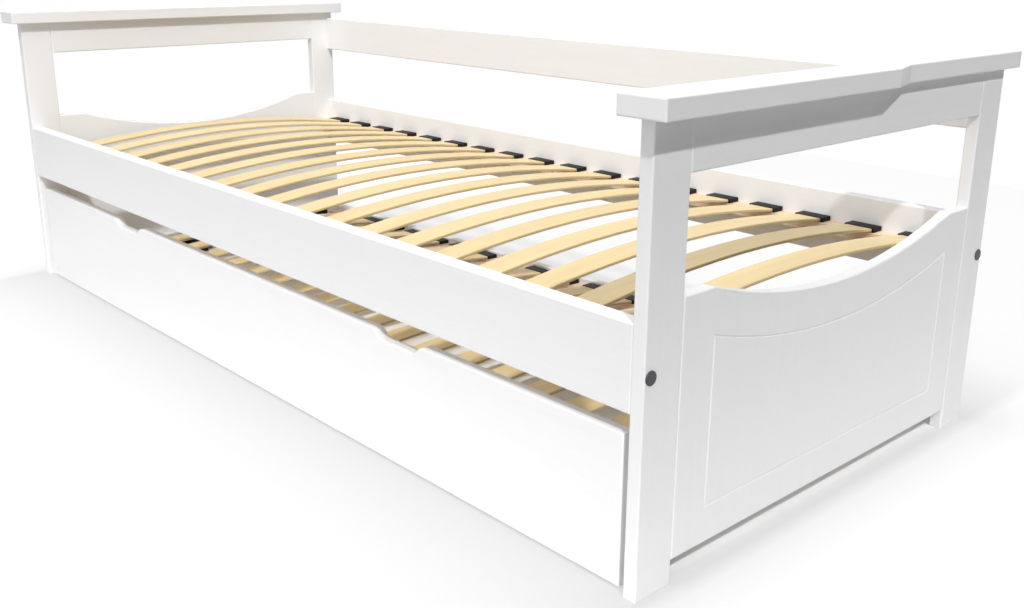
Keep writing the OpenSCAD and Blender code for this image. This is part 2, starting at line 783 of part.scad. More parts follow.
module rail_bolts() color("silver") both_x() for (f = [true, false]) rail_bolt(f);
module barrel_nuts() color("silver") both_x() for (f = [true, false]) barrel_nut(f);
module bolt_caps() color("dimgray") both_x() for (f = [true, false]) bolt_cap(f);
module rail_dowels() color("tan") both_x() for (f = [true, false]) rail_dowel_pair(f);
module end_frame_dowels() color("tan") both_x() both_y() end_dowel_row();
module arm_dowels() color("tan") both_x() arm_dowel_row();
module back_rail_dowels() color("tan") both_x() back_dowel_pair();
module cam_locks() color("silver")
    both_x() translate([half_l, back_rail_y, back_cam_z]) cam_lock_shape(back_rail_t);
module cam_bolts() color("silver")
    both_x() translate([half_l, back_rail_y, back_cam_z]) cam_bolt_shape();
module batten_screws() color("silver") {
    batten_screw_row(deck_row, -rail_in_front, -1, batten_top);
    batten_screw_row(deck_row, rail_in_rear, 1, batten_top);
}

module trundle_front() color("white") trundle_front_board();
module trundle_side_left() color("white") mirror([1, 0, 0]) tray_side();
module trundle_side_right() color("white") tray_side();
module trundle_back() color("white") tray_back();
module trundle_batten_front() color("burlywood")
    batten(tray_row, tray_front_y, -1, tray_batten_top);
module trundle_batten_rear() color("burlywood")
    batten(tray_row, tray_back_y, 1, tray_batten_top);
module trundle_slats() color("wheat") slats(tray_row, tray_deck_y, tray_deck_z, tray_arc);
module trundle_caps_front() color("black")
    caps(tray_row, tray_deck_y, tray_deck_z, tray_arc, -1);
module trundle_caps_rear() color("black")
    caps(tray_row, tray_deck_y, tray_deck_z, tray_arc, 1);
module trundle_dowels() color("tan") both_x() tray_dowel_pair();
module trundle_cam_locks() color("silver")
    both_x() tray_cam() cam_lock_shape(tray_t);
module trundle_cam_bolts() color("silver") both_x() tray_cam() cam_bolt_shape();
module trundle_screws() color("silver") both_x() tray_screw_pair();
module trundle_batten_screws() color("silver") {
    batten_screw_row(tray_row, tray_front_y, -1, tray_batten_top);
    batten_screw_row(tray_row, tray_back_y, 1, tray_batten_top);
}

module caster_housing_front_left() color("black") mirror([1, 0, 0]) caster_housing(caster_ys[0]);
module caster_housing_front_right() color("black") caster_housing(caster_ys[0]);
module caster_housing_middle_left() color("black") mirror([1, 0, 0]) caster_housing(caster_ys[1]);
module caster_housing_middle_right() color("black") caster_housing(caster_ys[1]);
module caster_housing_rear_left() color("black") mirror([1, 0, 0]) caster_housing(caster_ys[2]);
module caster_housing_rear_right() color("black") caster_housing(caster_ys[2]);
module caster_screws() color("silver")
    both_x() for (y = caster_ys) translate([tray_in_x, y, 0]) housing_screws();
module caster_axles() color("silver") both_x() for (y = caster_ys) caster_axle(y);
module wheel_front_left() color("dimgray") mirror([1, 0, 0]) wheel(caster_ys[0]);
module wheel_front_right() color("dimgray") wheel(caster_ys[0]);
module wheel_middle_left() color("dimgray") mirror([1, 0, 0]) wheel(caster_ys[1]);
module wheel_middle_right() color("dimgray") wheel(caster_ys[1]);
module wheel_rear_left() color("dimgray") mirror([1, 0, 0]) wheel(caster_ys[2]);
module wheel_rear_right() color("dimgray") wheel(caster_ys[2]);

post_front_left();
post_front_right();
post_rear_left();
post_rear_right();
end_panel_left();
end_panel_right();
end_rail_left();
end_rail_right();
arm_board_left();
arm_board_right();
front_rail();
rear_rail();
back_rail();
batten_front();
batten_rear();
bed_slats();
slat_caps_front();
slat_caps_rear();
rail_bolts();
barrel_nuts();
bolt_caps();
rail_dowels();
end_frame_dowels();
arm_dowels();
back_rail_dowels();
cam_locks();
cam_bolts();
batten_screws();
trundle_front();
trundle_side_left();
trundle_side_right();
trundle_back();
trundle_batten_front();
trundle_batten_rear();
trundle_slats();
trundle_caps_front();
trundle_caps_rear();
trundle_dowels();
trundle_cam_locks();
trundle_cam_bolts();
trundle_screws();
trundle_batten_screws();
caster_housing_front_left();
caster_housing_front_right();
caster_housing_middle_left();
caster_housing_middle_right();
caster_housing_rear_left();
caster_housing_rear_right();
caster_screws();
caster_axles();
wheel_front_left();
wheel_front_right();
wheel_middle_left();
wheel_middle_right();
wheel_rear_left();
wheel_rear_right();
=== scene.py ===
import json
import math

import bmesh
import bpy
from mathutils import Matrix, Vector


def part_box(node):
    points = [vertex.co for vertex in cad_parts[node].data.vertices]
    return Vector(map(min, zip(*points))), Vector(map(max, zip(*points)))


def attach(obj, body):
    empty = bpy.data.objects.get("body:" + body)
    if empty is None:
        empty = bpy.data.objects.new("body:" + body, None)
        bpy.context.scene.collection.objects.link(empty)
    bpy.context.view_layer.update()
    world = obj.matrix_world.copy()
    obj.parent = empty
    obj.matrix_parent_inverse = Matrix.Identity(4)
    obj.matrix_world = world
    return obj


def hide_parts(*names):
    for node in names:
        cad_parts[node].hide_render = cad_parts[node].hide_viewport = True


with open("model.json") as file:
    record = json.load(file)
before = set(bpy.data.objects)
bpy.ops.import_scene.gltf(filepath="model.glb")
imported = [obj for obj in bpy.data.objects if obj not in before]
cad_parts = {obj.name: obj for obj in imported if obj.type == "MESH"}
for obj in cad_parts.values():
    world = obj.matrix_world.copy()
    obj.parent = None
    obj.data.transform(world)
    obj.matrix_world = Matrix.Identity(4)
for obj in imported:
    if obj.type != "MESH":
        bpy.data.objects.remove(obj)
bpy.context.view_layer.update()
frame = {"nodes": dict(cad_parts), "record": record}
print("frame loaded:", len(frame["nodes"]), "solids")

millimetre = 0.001


def toLinear(hexCode):
    channels = [int(hexCode[i:i + 2], 16) / 255 for i in (1, 3, 5)]
    return [c / 12.92 if c <= 0.04045 else ((c + 0.055) / 1.055) ** 2.4 for c in channels] + [1.0]


def addNode(tree, kind, inputs=None, **settings):
    node = tree.nodes.new("ShaderNode" + kind)
    for name, value in settings.items():
        setattr(node, name, value)
    for socket, value in (inputs or {}).items():
        if isinstance(value, bpy.types.NodeSocket):
            tree.links.new(value, node.inputs[socket])
        else:
            node.inputs[socket].default_value = value
    return node


def newMaterial(name):
    material = bpy.data.materials.new(name)
    material.use_nodes = True
    material.node_tree.nodes.clear()
    return material, material.node_tree


def addSurface(tree, inputs):
    surface = addNode(tree, "BsdfPrincipled", inputs)
    addNode(tree, "OutputMaterial", {"Surface": surface.outputs[0]})


def maths(tree, operation, *values):
    return addNode(tree, "Math", dict(enumerate(values)), operation=operation).outputs[0]


def vectorMaths(tree, operation, *values):
    node = addNode(tree, "VectorMath", dict(enumerate(values)), operation=operation)
    return node.outputs["Value" if operation == "LENGTH" else "Vector"]


def split(tree, vector):
    return addNode(tree, "SeparateXYZ", {0: vector}).outputs


def objectPlace(tree):
    return addNode(tree, "TexCoord").outputs["Object"]


def stretched(tree, cell, shift=None):
    # object coordinates counted in cells of the given size, in millimetres along X, Y and Z
    place = objectPlace(tree)
    if shift is not None:
        place = vectorMaths(tree, "ADD", place, shift)
    return vectorMaths(tree, "MULTIPLY", place, [1 / (side * millimetre) for side in cell])


def noise(tree, cell, detail, shift=None, roughness=0.5):
    return addNode(tree, "TexNoise", {
        "Vector": stretched(tree, cell, shift), "Scale": 1.0, "Detail": detail,
        "Roughness": roughness}).outputs["Fac"]


def relief(tree, height, depth, under=None):
    inputs = {"Height": height, "Distance": depth * millimetre, "Strength": 1.0}
    if under is not None:
        inputs["Normal"] = under
    return addNode(tree, "Bump", inputs).outputs[0]


def blendColours(tree, share, first, second):
    node = addNode(tree, "Mix", {"Factor": share, "A": first, "B": second}, data_type="RGBA")
    return node.outputs["Result"]


def remap(tree, value, low, high, fromLow=0.0, fromHigh=1.0):
    return addNode(tree, "MapRange", {
        "Value": value, "From Min": fromLow, "From Max": fromHigh,
        "To Min": low, "To Max": high}).outputs["Result"]


# white paint
lacquer = {
    "colour": "#f0f0f1",
    "shade": "#eeeeef",        # where the film sank into softer grain
    "sunk": (0.35, 0.75),      # the grain's own values between which it did
    "roughness": (0.30, 0.38),
    "fibre": 3.0,              # width of a grain line that shows through, mm
    "fibreLength": 160.0,
    "fibreHeight": 0.006,
    "peel": 4.0,               # sprayed ripple; the real one is about 1 mm, too fine to show
    "peelHeight": 0.004,
    "cloud": 90.0,             # slow change of sheen, mm
    "cloudRange": (0.3, 0.7),
}


def satinLacquer(name, along):
    # sprayed white lacquer on pine: satin sheen, with faint grain lines along each board
    material, tree = newMaterial(name)
    cell = [lacquer["fibre"]] * 3
    cell["XYZ".index(along)] = lacquer["fibreLength"]
    fibre = noise(tree, cell, 3.0)
    peel = noise(tree, [lacquer["peel"]] * 3, 1.0)
    cloud = noise(tree, [lacquer["cloud"]] * 3, 2.0)
    sunk = remap(tree, fibre, 0.0, 1.0, *lacquer["sunk"])
    grain = relief(tree, fibre, lacquer["fibreHeight"])
    addSurface(tree, {
        "Base Color": blendColours(
            tree, sunk, toLinear(lacquer["colour"]), toLinear(lacquer["shade"])),
        "Roughness": remap(tree, cloud, *lacquer["roughness"], *lacquer["cloudRange"]),
        "Normal": relief(tree, peel, lacquer["peelHeight"], grain)})
    return material


# bent slats
birch = {
    "pale": "#e6d1a2",
    "dark": "#dbc290",
    "glue": "#b59c74",
    "pore": "#d2b684",
    "ply": 1.2,                # one veneer, mm
    "plies": 5,
    "tongue": 27.35,           # flat end of a slat, with the seam at its cap, mm
    "lowSkin": 0.1,            # how much thinner the flat end is on each face, mm
    "glueShare": 0.2,          # of a veneer, drawn wider than the real 0.1 mm so that it shows
    "edgeNormal": (0.8, 0.95), # how squarely a face looks along X before it counts as an edge
    "grain": 2.4,              # mm across the grain
    "grainLength": 130.0,
    "grainHeight": 0.06,
    "poreRange": (0.56, 0.78),
    "poreShare": 0.4,
    "figure": 14.0,            # broad darker streaks, mm
    "figureLength": 300.0,
    "figureRange": (0.35, 0.7),
    "figureShare": 0.55,
    "slatShare": 0.35,         # how far one slat's tone may differ from the next one's
    "roughness": 0.5,
    "count": 18,
    "width": 53.0,             # mm
}


def birchPly(name, node):
    # bent birch laminate under clear satin lacquer: cream faces, glue lines on the long edges
    low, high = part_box(node)
    thick = birch["ply"] * birch["plies"] * millimetre
    half = (high.y - low.y) / 2 - birch["tongue"] * millimetre
    rise = high.z - low.z - thick + birch["lowSkin"] * millimetre
    radius = (half * half + rise * rise) / (2 * rise) + thick / 2
    middle = (low.y + high.y) / 2
    width = birch["width"] * millimetre
    pitch = (high.x - low.x - width) / (birch["count"] - 1)

    material, tree = newMaterial(name)
    place = split(tree, objectPlace(tree))
    number = maths(tree, "FLOOR", maths(
        tree, "MULTIPLY_ADD", place["X"], 1 / pitch, 0.5 - (low.x + width / 2) / pitch))
    lot = addNode(tree, "TexWhiteNoise", {"W": number}, noise_dimensions="1D").outputs["Value"]
    shift = addNode(tree, "CombineXYZ", {"Y": lot, "Z": lot}).outputs[0]
    grain = noise(tree, [birch["grain"], birch["grainLength"], birch["grain"]], 4.0, shift, 0.6)
    figure = noise(tree, [birch["figure"], birch["figureLength"], birch["figure"]], 2.0, shift)

    # depth below the curved face, counted in veneers; the whole number keeps the count positive
    ply, spare = birch["ply"] * millimetre, 40
    fromCentre = addNode(tree, "CombineXYZ", {
        "Y": maths(tree, "ADD", place["Y"], -middle),
        "Z": maths(tree, "ADD", place["Z"], radius - high.z)}).outputs[0]
    veneers = maths(tree, "MULTIPLY_ADD", vectorMaths(tree, "LENGTH", fromCentre),
                    1 / ply, spare + 0.5 - radius / ply)
    glueLine = maths(tree, "LESS_THAN", maths(tree, "FRACT", veneers), birch["glueShare"])
    normal = split(tree, addNode(tree, "NewGeometry").outputs["Normal"])
    onEdge = remap(tree, maths(tree, "ABSOLUTE", normal["X"]), 0.0, 1.0, *birch["edgeNormal"])
    showGlue = maths(tree, "MULTIPLY", glueLine, onEdge)

    tone = maths(tree, "ADD",
                 remap(tree, figure, 0.0, birch["figureShare"], *birch["figureRange"]),
                 remap(tree, lot, 0.0, birch["slatShare"]))
    pores = remap(tree, grain, 0.0, birch["poreShare"], *birch["poreRange"])
    colour = blendColours(tree, tone, toLinear(birch["pale"]), toLinear(birch["dark"]))
    colour = blendColours(tree, pores, colour, toLinear(birch["pore"]))
    colour = blendColours(tree, showGlue, colour, toLinear(birch["glue"]))
    addSurface(tree, {
        "Base Color": colour, "Roughness": birch["roughness"],
        "Normal": relief(tree, grain, birch["grainHeight"])})
    return material


# bare wood
softwood = {
    "early": "#ecd3ba",
    "late": "#dcb896",
    "lateRange": (0.45, 0.7),
    "ring": 4.5,               # mm between growth rings
    "ringLength": 420.0,
    "ringHeight": 0.08,
    "roughness": 0.6,
}


def planedWood(name):
    # planed, unfinished wood: pale early wood with thin darker lines of late wood
    material, tree = newMaterial(name)
    rings = noise(tree, [softwood["ringLength"], softwood["ring"], softwood["ring"]], 3.0)
    line = remap(tree, rings, 0.0, 1.0, *softwood["lateRange"])
    addSurface(tree, {
        "Base Color": blendColours(
            tree, line, toLinear(softwood["early"]), toLinear(softwood["late"])),
        "Roughness": softwood["roughness"],
        "Normal": relief(tree, rings, softwood["ringHeight"])})
    return material


# plastics
plastics = {                   # cell and height of the texture in mm
    "blackPolypropylene": {
        "colour": "#0c0c0b", "roughness": (0.50, 0.62), "cell": 2.0, "height": 0.04, "shine": 0.25},
    "greyPolyethylene": {
        "colour": "#38393b", "roughness": (0.38, 0.50), "cell": 3.0, "height": 0.02, "shine": 0.5},
    "blackNylon": {
        "colour": "#1d1d1f", "roughness": (0.33, 0.45), "cell": 4.0, "height": 0.02, "shine": 0.5},
    "greyRubber": {
        "colour": "#5b5c5e", "roughness": (0.55, 0.67), "cell": 1.5, "height": 0.03, "shine": 0.4},
}
textureRange = (0.3, 0.7)


def mouldedPlastic(name):
    # injection moulded plastic with a fine spark-eroded texture: dull, with soft highlights
    values = plastics[name]
    material, tree = newMaterial(name)
    texture = noise(tree, [values["cell"]] * 3, 3.0)
    addSurface(tree, {
        "Base Color": toLinear(values["colour"]),
        "Specular IOR Level": values["shine"],
        "Roughness": remap(tree, texture, *values["roughness"], *textureRange),
        "Normal": relief(tree, texture, values["height"])})
    return material


# metal
zinc = {
    "bright": "#c9ccd0",
    "dull": "#a8acb2",
    "dullRange": (0.35, 0.65),
    "spangle": 5.0,            # mm
    "roughness": (0.26, 0.42),
}


def zincPlatedSteel(name):
    # bright zinc plating on pressed steel: pale blue-grey metal with a cloudy passivated film
    material, tree = newMaterial(name)
    cloud = noise(tree, [zinc["spangle"]] * 3, 4.0)
    share = remap(tree, cloud, 0.0, 1.0, *zinc["dullRange"])
    addSurface(tree, {
        "Base Color": blendColours(tree, share, toLinear(zinc["bright"]), toLinear(zinc["dull"])),
        "Metallic": 1.0,
        "Roughness": remap(tree, share, *zinc["roughness"])})
    return material


lacquerAlong = {axis: satinLacquer("satinLacquer" + axis, axis) for axis in "XYZ"}
deckBirch = birchPly("birchPlyDeck", "bed_slats")
trundleBirch = birchPly("birchPlyTrundle", "trundle_slats")
pine = planedWood("planedPine")
beech = planedWood("turnedBeech")
blackPlastic = mouldedPlastic("blackPolypropylene")
greyPlastic = mouldedPlastic("greyPolyethylene")
wheelPlastic = mouldedPlastic("blackNylon")
steel = zincPlatedSteel("zincPlatedSteel")

finishes = {
    "white_lacquer": lacquerAlong["X"],
    "birch_slat": deckBirch,
    "pine": pine,
    "beech": beech,
    "black_plastic": blackPlastic,
    "grey_plastic": greyPlastic,
    "wheel_plastic": wheelPlastic,
    "zinc_steel": steel,
}
uprights = ("post_", "end_panel")
crossways = ("end_rail", "arm_board", "trundle_side")
slotOf = {part["node"]: part["material_slot"] for part in frame["record"]["subparts"]}


def finishOf(node):
    if slotOf[node] == "white_lacquer" and node.startswith(uprights):
        return lacquerAlong["Z"]
    if slotOf[node] == "white_lacquer" and node.startswith(crossways):
        return lacquerAlong["Y"]
    if node == "trundle_slats":
        return trundleBirch
    return finishes[slotOf[node]]


for node, solid in frame["nodes"].items():
    solid.data.materials.clear()
    solid.data.materials.append(finishOf(node))
print("finishes set")


smoothUnder = 35.0             # degrees between two faces that are shaded as one
joinWithin = 1e-6              # metres between corners that are the same corner


def newPiece(name, shape, finish, body, *replaced):
    mesh = bpy.data.meshes.new(name)
    bmesh.ops.recalc_face_normals(shape, faces=shape.faces)
    shape.to_mesh(mesh)
    shape.free()
    for material in finish:
        mesh.materials.append(material)
    piece = bpy.data.objects.new(name, mesh)
    bpy.context.scene.collection.objects.link(piece)
    mesh.shade_smooth()
    mesh.set_sharp_from_angle(angle=math.radians(smoothUnder))
    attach(piece, body)
    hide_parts(*replaced)
    return piece


def bodyOf(node):
    bodies = frame["record"]["behaviour"]["bodies"]
    return next(name for name, nodes in bodies.items() if node in nodes)


# trundle's front board
frontBoard = {
    "edge": 3.0,               # hand-sanded rounding of every arris, mm
    "steps": 6,
    "notchFlat": 76.0,         # flat bottom of a finger notch, mm
    "notchRun": 31.0,          # each curved end
    "notchDepth": 15.0,
    "notchSteps": 10,
}


def notchLine(middle, top):
    # a finger notch from left to right, each end an S of two equal arcs
    run, depth = frontBoard["notchRun"] * millimetre, frontBoard["notchDepth"] * millimetre
    flat = frontBoard["notchFlat"] * millimetre / 2
    radius = (run * run + depth * depth) / (4 * depth)
    turn = 2 * math.atan(depth / run)
    steps = frontBoard["notchSteps"]
    turns = [turn * i / steps for i in range(steps + 1)]
    line = [(flat + radius * math.sin(a), radius * (1 - math.cos(a)) - depth) for a in turns]
    line += [(flat + run - radius * math.sin(a), radius * (math.cos(a) - 1))
             for a in reversed(turns[:-1])]
    right = [(middle + x, top + z) for x, z in line]
    left = [(middle - x, top + z) for x, z in line]
    return left[::-1] + right


def insetLoop(loop, reach):
    # moves a closed outline inwards by the same distance all round
    moved = []
    for i, point in enumerate(loop):
        before = (point - loop[i - 1]).normalized()
        after = (loop[(i + 1) % len(loop)] - point).normalized()
        inward = Vector((-before.y - after.y, before.x + after.x))
        inward = inward / max(inward.length_squared, 1e-9) * 2
        moved.append(point + inward * reach)
    return moved


def makeFrontBoard():
    low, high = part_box("trundle_front")
    openings = frame["record"]["physics"]["openings"]
    notch = next(o["box_m"] for o in openings if o["name"] == "finger_notch_right")
    middle = (notch[0][0] + notch[1][0]) / 2
    top = notchLine(-middle, high.z) + notchLine(middle, high.z)
    corners = [(high.x, high.z), (high.x, low.z), (low.x, low.z)]
    loop = [Vector(p) for p in [(low.x, high.z)] + top + corners]
    loop.reverse()             # anticlockwise, so that inwards is to the left
    edge, steps = frontBoard["edge"] * millimetre, frontBoard["steps"]
    turns = [math.pi / 2 * i / steps for i in range(steps + 1)]
    rings = [(edge * (1 - math.sin(a)), low.y + edge * (1 - math.cos(a))) for a in turns]
    rings += [(inset, high.y - (y - low.y)) for inset, y in reversed(rings)]
    shape = bmesh.new()
    loops = [[shape.verts.new((p.x, y, p.y)) for p in insetLoop(loop, inset)] for inset, y in rings]
    count = len(loop)
    for first, second in zip(loops, loops[1:]):
        for i in range(count):
            j = (i + 1) % count
            shape.faces.new((first[i], first[j], second[j], second[i]))
    shape.faces.new(loops[0])
    shape.faces.new(loops[-1])
    newPiece("trundleFrontBoard", shape, [lacquerAlong["X"]], "trundle", "trundle_front")


makeFrontBoard()


def turned(shape, profile, centre, finish=0, closed=False, facets=64):
    # turns a profile of (along X, radius) about a line along X through the centre
    middle = Vector(centre)
    turns = [2 * math.pi * i / facets for i in range(facets)]
    rings = []
    for along, radius in profile:
        if radius == 0:
            rings.append([shape.verts.new(middle + Vector((along, 0, 0)))] * facets)
            continue
        rings.append([
            shape.verts.new(middle + Vector((along, radius * math.cos(a), radius * math.sin(a))))
            for a in turns])
    pairs = list(zip(rings, rings[1:])) + ([(rings[-1], rings[0])] if closed else [])
    for first, second in pairs:
        for i in range(facets):
            j = (i + 1) % facets
            corners = list(dict.fromkeys((first[i], first[j], second[j], second[i])))
            shape.faces.new(corners).material_index = finish


def block(shape, low, high, turn):
    # one moulded bar, as a box between two corners, then turned into place
    corners = [Vector((x, y, z)) for x in (low[0], high[0]) for y in (low[1], high[1])
               for z in (low[2], high[2])]
    verts = [shape.verts.new(turn @ corner) for corner in corners]
    quads = (0, 1, 3, 2), (4, 6, 7, 5), (0, 4, 5, 1), (2, 3, 7, 6), (0, 2, 6, 4), (1, 5, 7, 3)
    for quad in quads:
        shape.faces.new([verts[k] for k in quad])


def islands(node):
    # lowest and highest corners of the separate solids that share one node
    shape = bmesh.new()
    shape.from_mesh(frame["nodes"][node].data)
    bmesh.ops.remove_doubles(shape, verts=shape.verts, dist=joinWithin)
    left, found = set(shape.verts), []
    while left:
        stack, group = [left.pop()], []
        while stack:
            vert = stack.pop()
            group.append(vert.co.copy())
            for edge in vert.link_edges:
                other = edge.other_vert(vert)
                if other in left:
                    left.remove(other)
                    stack.append(other)
        lows = Vector([min(p[k] for p in group) for k in range(3)])
        highs = Vector([max(p[k] for p in group) for k in range(3)])
        found.append((lows, highs))
    shape.free()
    return sorted(found, key=lambda pair: tuple(pair[0]))


# caps over the rail bolts
boltCap = {
    "bead": 1.3,               # width of the raised rim, mm
    "dish": 0.4,               # depth of the step inside it
    "crown": 0.5,              # rise of the middle above that step
}


def makeBoltCaps():
    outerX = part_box("post_front_right")[1].x
    bead, dish, crown = [boltCap[k] * millimetre for k in ("bead", "dish", "crown")]
    shape = bmesh.new()
    for low, high in islands("bolt_caps"):
        side = 1 if low.x > 0 else -1
        proud = max(abs(low.x), abs(high.x)) - outerX
        radius = (high.z - low.z) / 2
        step = proud - dish
        profile = [
            (0.0, radius), (proud * 0.5, radius), (proud * 0.85, radius - bead * 0.25),
            (proud, radius - bead * 0.6), (proud * 0.97, radius - bead),
            (step, radius - bead * 1.3), (step + crown * 0.5, radius * 0.6),
            (step + crown * 0.85, radius * 0.3), (step + crown, 0)]
        turned(shape, [(side * along, r) for along, r in profile],
               (side * outerX, (low.y + high.y) / 2, (low.z + high.z) / 2))
    newPiece("railBoltCaps", shape, [greyPlastic], "bed_frame", "bolt_caps")


makeBoltCaps()

# caster wheels
casterWheel = {
    "tyre": 3.2,               # depth of the soft tread, mm
    "shoulder": 2.2,           # rounding of the tread's sides
    "shoulderSteps": 6,
    "treadIn": 0.4,            # how far the tread lies inside the rim's faces
    "grooveAt": 2.6,           # two grooves round the tread, from its middle
    "grooveWidth": 1.0,
    "grooveDepth": 0.5,
    "rim": 2.0,
    "hub": 6.2,                # radius
    "bore": 3.08,              # radius
    "web": 3.0,                # how far the web lies inside the rim's faces
    "arris": 0.3,
    "ribs": 8,
    "ribWidth": 1.6,
    "ribIn": 1.2,              # how far a rib lies inside the rim's faces
}


def makeWheel(node):
    size = {key: value * millimetre for key, value in casterWheel.items()}
    steps, ribs = casterWheel["shoulderSteps"], casterWheel["ribs"]
    low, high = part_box(node)
    centre = (low + high) / 2
    radius, half = (high.z - low.z) / 2, (high.x - low.x) / 2
    rimOut, arris = radius - size["tyre"], size["arris"]
    rimIn = rimOut - size["rim"]
    side, shoulder = half - size["treadIn"], size["shoulder"]
    turns = [math.pi / 2 / steps * i for i in range(steps + 1)]
    arc = [(side - shoulder * (1 - math.cos(a)), radius - shoulder * (1 - math.sin(a)))
           for a in turns]
    groove = [(size["grooveAt"] + size["grooveWidth"] * x, radius - size["grooveDepth"] * z)
              for x, z in ((0.5, 0), (0.3, 1), (-0.3, 1), (-0.5, 0))]
    right = [(side, rimOut - arris)] + arc + groove
    tread = right + [(-x, r) for x, r in reversed(right)]
    web, hub, bore = half - size["web"], size["hub"], size["bore"]
    face = [(half - arris, rimOut), (half, rimOut - arris), (half, rimIn + arris),
            (half - arris, rimIn), (web, rimIn - arris), (web, hub + arris), (half - arris, hub),
            (half, hub - arris), (half, bore + arris), (half - arris, bore)]
    core = face + [(-x, r) for x, r in reversed(face)]
    shape = bmesh.new()
    turned(shape, core, centre, closed=True)
    turned(shape, tread, centre, finish=1, closed=True)
    for i in range(ribs):
        spin = Matrix.Rotation(2 * math.pi * i / ribs, 4, "X")
        for way in (-1, 1):
            ends = sorted((way * (web - arris), way * (half - size["ribIn"])))
            block(shape, (ends[0], hub - arris, -size["ribWidth"] / 2),
                  (ends[1], rimIn + arris, size["ribWidth"] / 2),
                  Matrix.Translation(centre) @ spin)
    newPiece(node + ".spoked", shape, [wheelPlastic, tyreRubber], bodyOf(node), node)


tyreRubber = mouldedPlastic("greyRubber")
for node in [name for name in frame["nodes"] if name.startswith("wheel_")]:
    makeWheel(node)

# moulded plastic parts, with the small radius that a mould leaves on their edges
mould = {
    "radius": {"slat_caps": 0.7, "trundle_caps": 0.7, "caster_housing": 0.9},
    "flat": 1.0,               # degrees: flatter edges aren't edges of the moulding
    "sharp": 50.0,             # degrees: sharper ones are rounded
    "steps": 2,
}


def makeSoftEdged(node, reach):
    shape = bmesh.new()
    shape.from_mesh(frame["nodes"][node].data)
    bmesh.ops.remove_doubles(shape, verts=shape.verts, dist=joinWithin)
    bmesh.ops.dissolve_limit(shape, angle_limit=math.radians(mould["flat"]),
                              verts=shape.verts, edges=shape.edges)
    limit = math.radians(mould["sharp"])
    sharp = [edge for edge in shape.edges
             if len(edge.link_faces) == 2 and edge.calc_face_angle() > limit]
    bmesh.ops.bevel(shape, geom=sharp, offset=reach * millimetre, segments=mould["steps"],
                    profile=0.5, affect="EDGES", clamp_overlap=True)
    newPiece(node + ".moulded", shape, [blackPlastic], bodyOf(node), node)


for node in list(frame["nodes"]):
    for start, reach in mould["radius"].items():
        if node.startswith(start):
            makeSoftEdged(node, reach)
print("pieces made")

# studio
room = {
    "floor": (5.6, 5.2),       # metres
    "bounce": (3.3, 2.15),     # the part of it that throws light back up
    "floorColour": "#f4f4f4",
    "floorSeen": "#7c7c7c",    # how strongly the eye sees its light and shade
    "floorUnder": "#fafafa",   # and under the bed
    # the eye's glow is less beside the bed than far from it: a painted soft shade round the bed,
    # thinner past the two ends
    "floorLift": 0.57,         # white under the light and shade, beside the bed
    "endsLift": 0.10,          # more white past the two ends,
    "endsEdge": 0.1,           # all of it from this share of the way to farAtEnds
    "farLift": 0.22,           # more white away from the bed,
    "farFade": 2.0,            # which comes in quickly at first
    "footprint": (1.03, 0.45), # half length and half depth of the bed
    "farAt": 0.42,             # metres from the footprint
    "farAtEnds": 0.31,
    "shelter": (1.024, 0.430), # under the bed the floor keeps its full shade
    "shelterEdge": 0.016,
    "skyFront": 0.66,          # daylight from a large window in front, strongest straight ahead
    "sun": 1.90,
    "sunTravel": (-1.0, 0.6, -1.26),
    "sunAngle": 2.5,           # degrees
}

lamps = {                      # soft boxes: watts, width and height in metres, place, aim
    "top": (40.0, 4.0, 3.0, (0.0, -0.4, 3.5), (0.0, 0.0, 0.3)),
    "above": (19.0, 3.0, 0.6, (-0.1, -0.9, 2.4), (-0.1, 0.45, 0.5)),
    "back": (12.0, 3.0, 1.5, (0.0, 2.8, 2.4), (0.0, 0.3, 0.3)),
    "front": (8.0, 2.0, 1.5, (1.3, -2.6, 2.2), (0.6, 0.0, 0.3)),
    "frontRight": (10.5, 2.0, 1.4, (2.0, -2.9, 0.9), (0.8, 0.0, 0.2)),
}


def seenDirectly(tree):
    # 1 for rays from the eye, and for what metal and glass show of the room
    path = addNode(tree, "LightPath").outputs
    first = maths(tree, "MAXIMUM", path["Is Camera Ray"], path["Is Glossy Ray"])
    return maths(tree, "MAXIMUM", first, path["Is Transmission Ray"])


def floorBounce(tree, apart):
    # only the floor near the bed throws light back up
    rim = [2 / side for side in room["bounce"]]
    share = split(tree, vectorMaths(tree, "MULTIPLY", apart, (*rim, 0.0)))
    outside = maths(tree, "GREATER_THAN", maths(tree, "MAXIMUM", share["X"], share["Y"]), 1.0)
    return blendColours(tree, outside, toLinear(room["floorColour"]), toLinear("#000000"))


def floorShelter(tree, apart):
    # 1 under the bed and 0 beside it
    inside = split(tree, vectorMaths(tree, "SUBTRACT", (*room["shelter"], 1.0), apart))
    edge = maths(tree, "MINIMUM", inside["X"], inside["Y"])
    return remap(tree, edge, 0.0, 1.0, 0.0, room["shelterEdge"])


def floorLift(tree, apart, under):
    # white glow that the eye sees over the light and shade: none under the bed, least beside it and
    # most far from it, so that the floor beside the bed carries a painted soft shade
    past = vectorMaths(tree, "SUBTRACT", apart, (*room["footprint"], 0.0))
    past = vectorMaths(tree, "MAXIMUM", past, (0.0, 0.0, 0.0))
    reach = (1 / room["farAtEnds"], 1 / room["farAt"], 0.0)
    away = vectorMaths(tree, "MULTIPLY", past, reach)
    # painted shade share: 1 at the footprint, falling to 0 at farAt from it
    paintedShadeNearBed = remap(tree, vectorMaths(tree, "LENGTH", away), 1.0, 0.0)
    paintedShadeNearBed = maths(tree, "POWER", paintedShadeNearBed, room["farFade"])
    lift = remap(tree, paintedShadeNearBed, room["floorLift"] + room["farLift"], room["floorLift"])
    ends = remap(tree, split(tree, away)["X"], 0.0, room["endsLift"], 0.0, room["endsEdge"])
    return maths(tree, "MULTIPLY", maths(tree, "ADD", lift, ends), remap(tree, under, 1.0, 0.0))


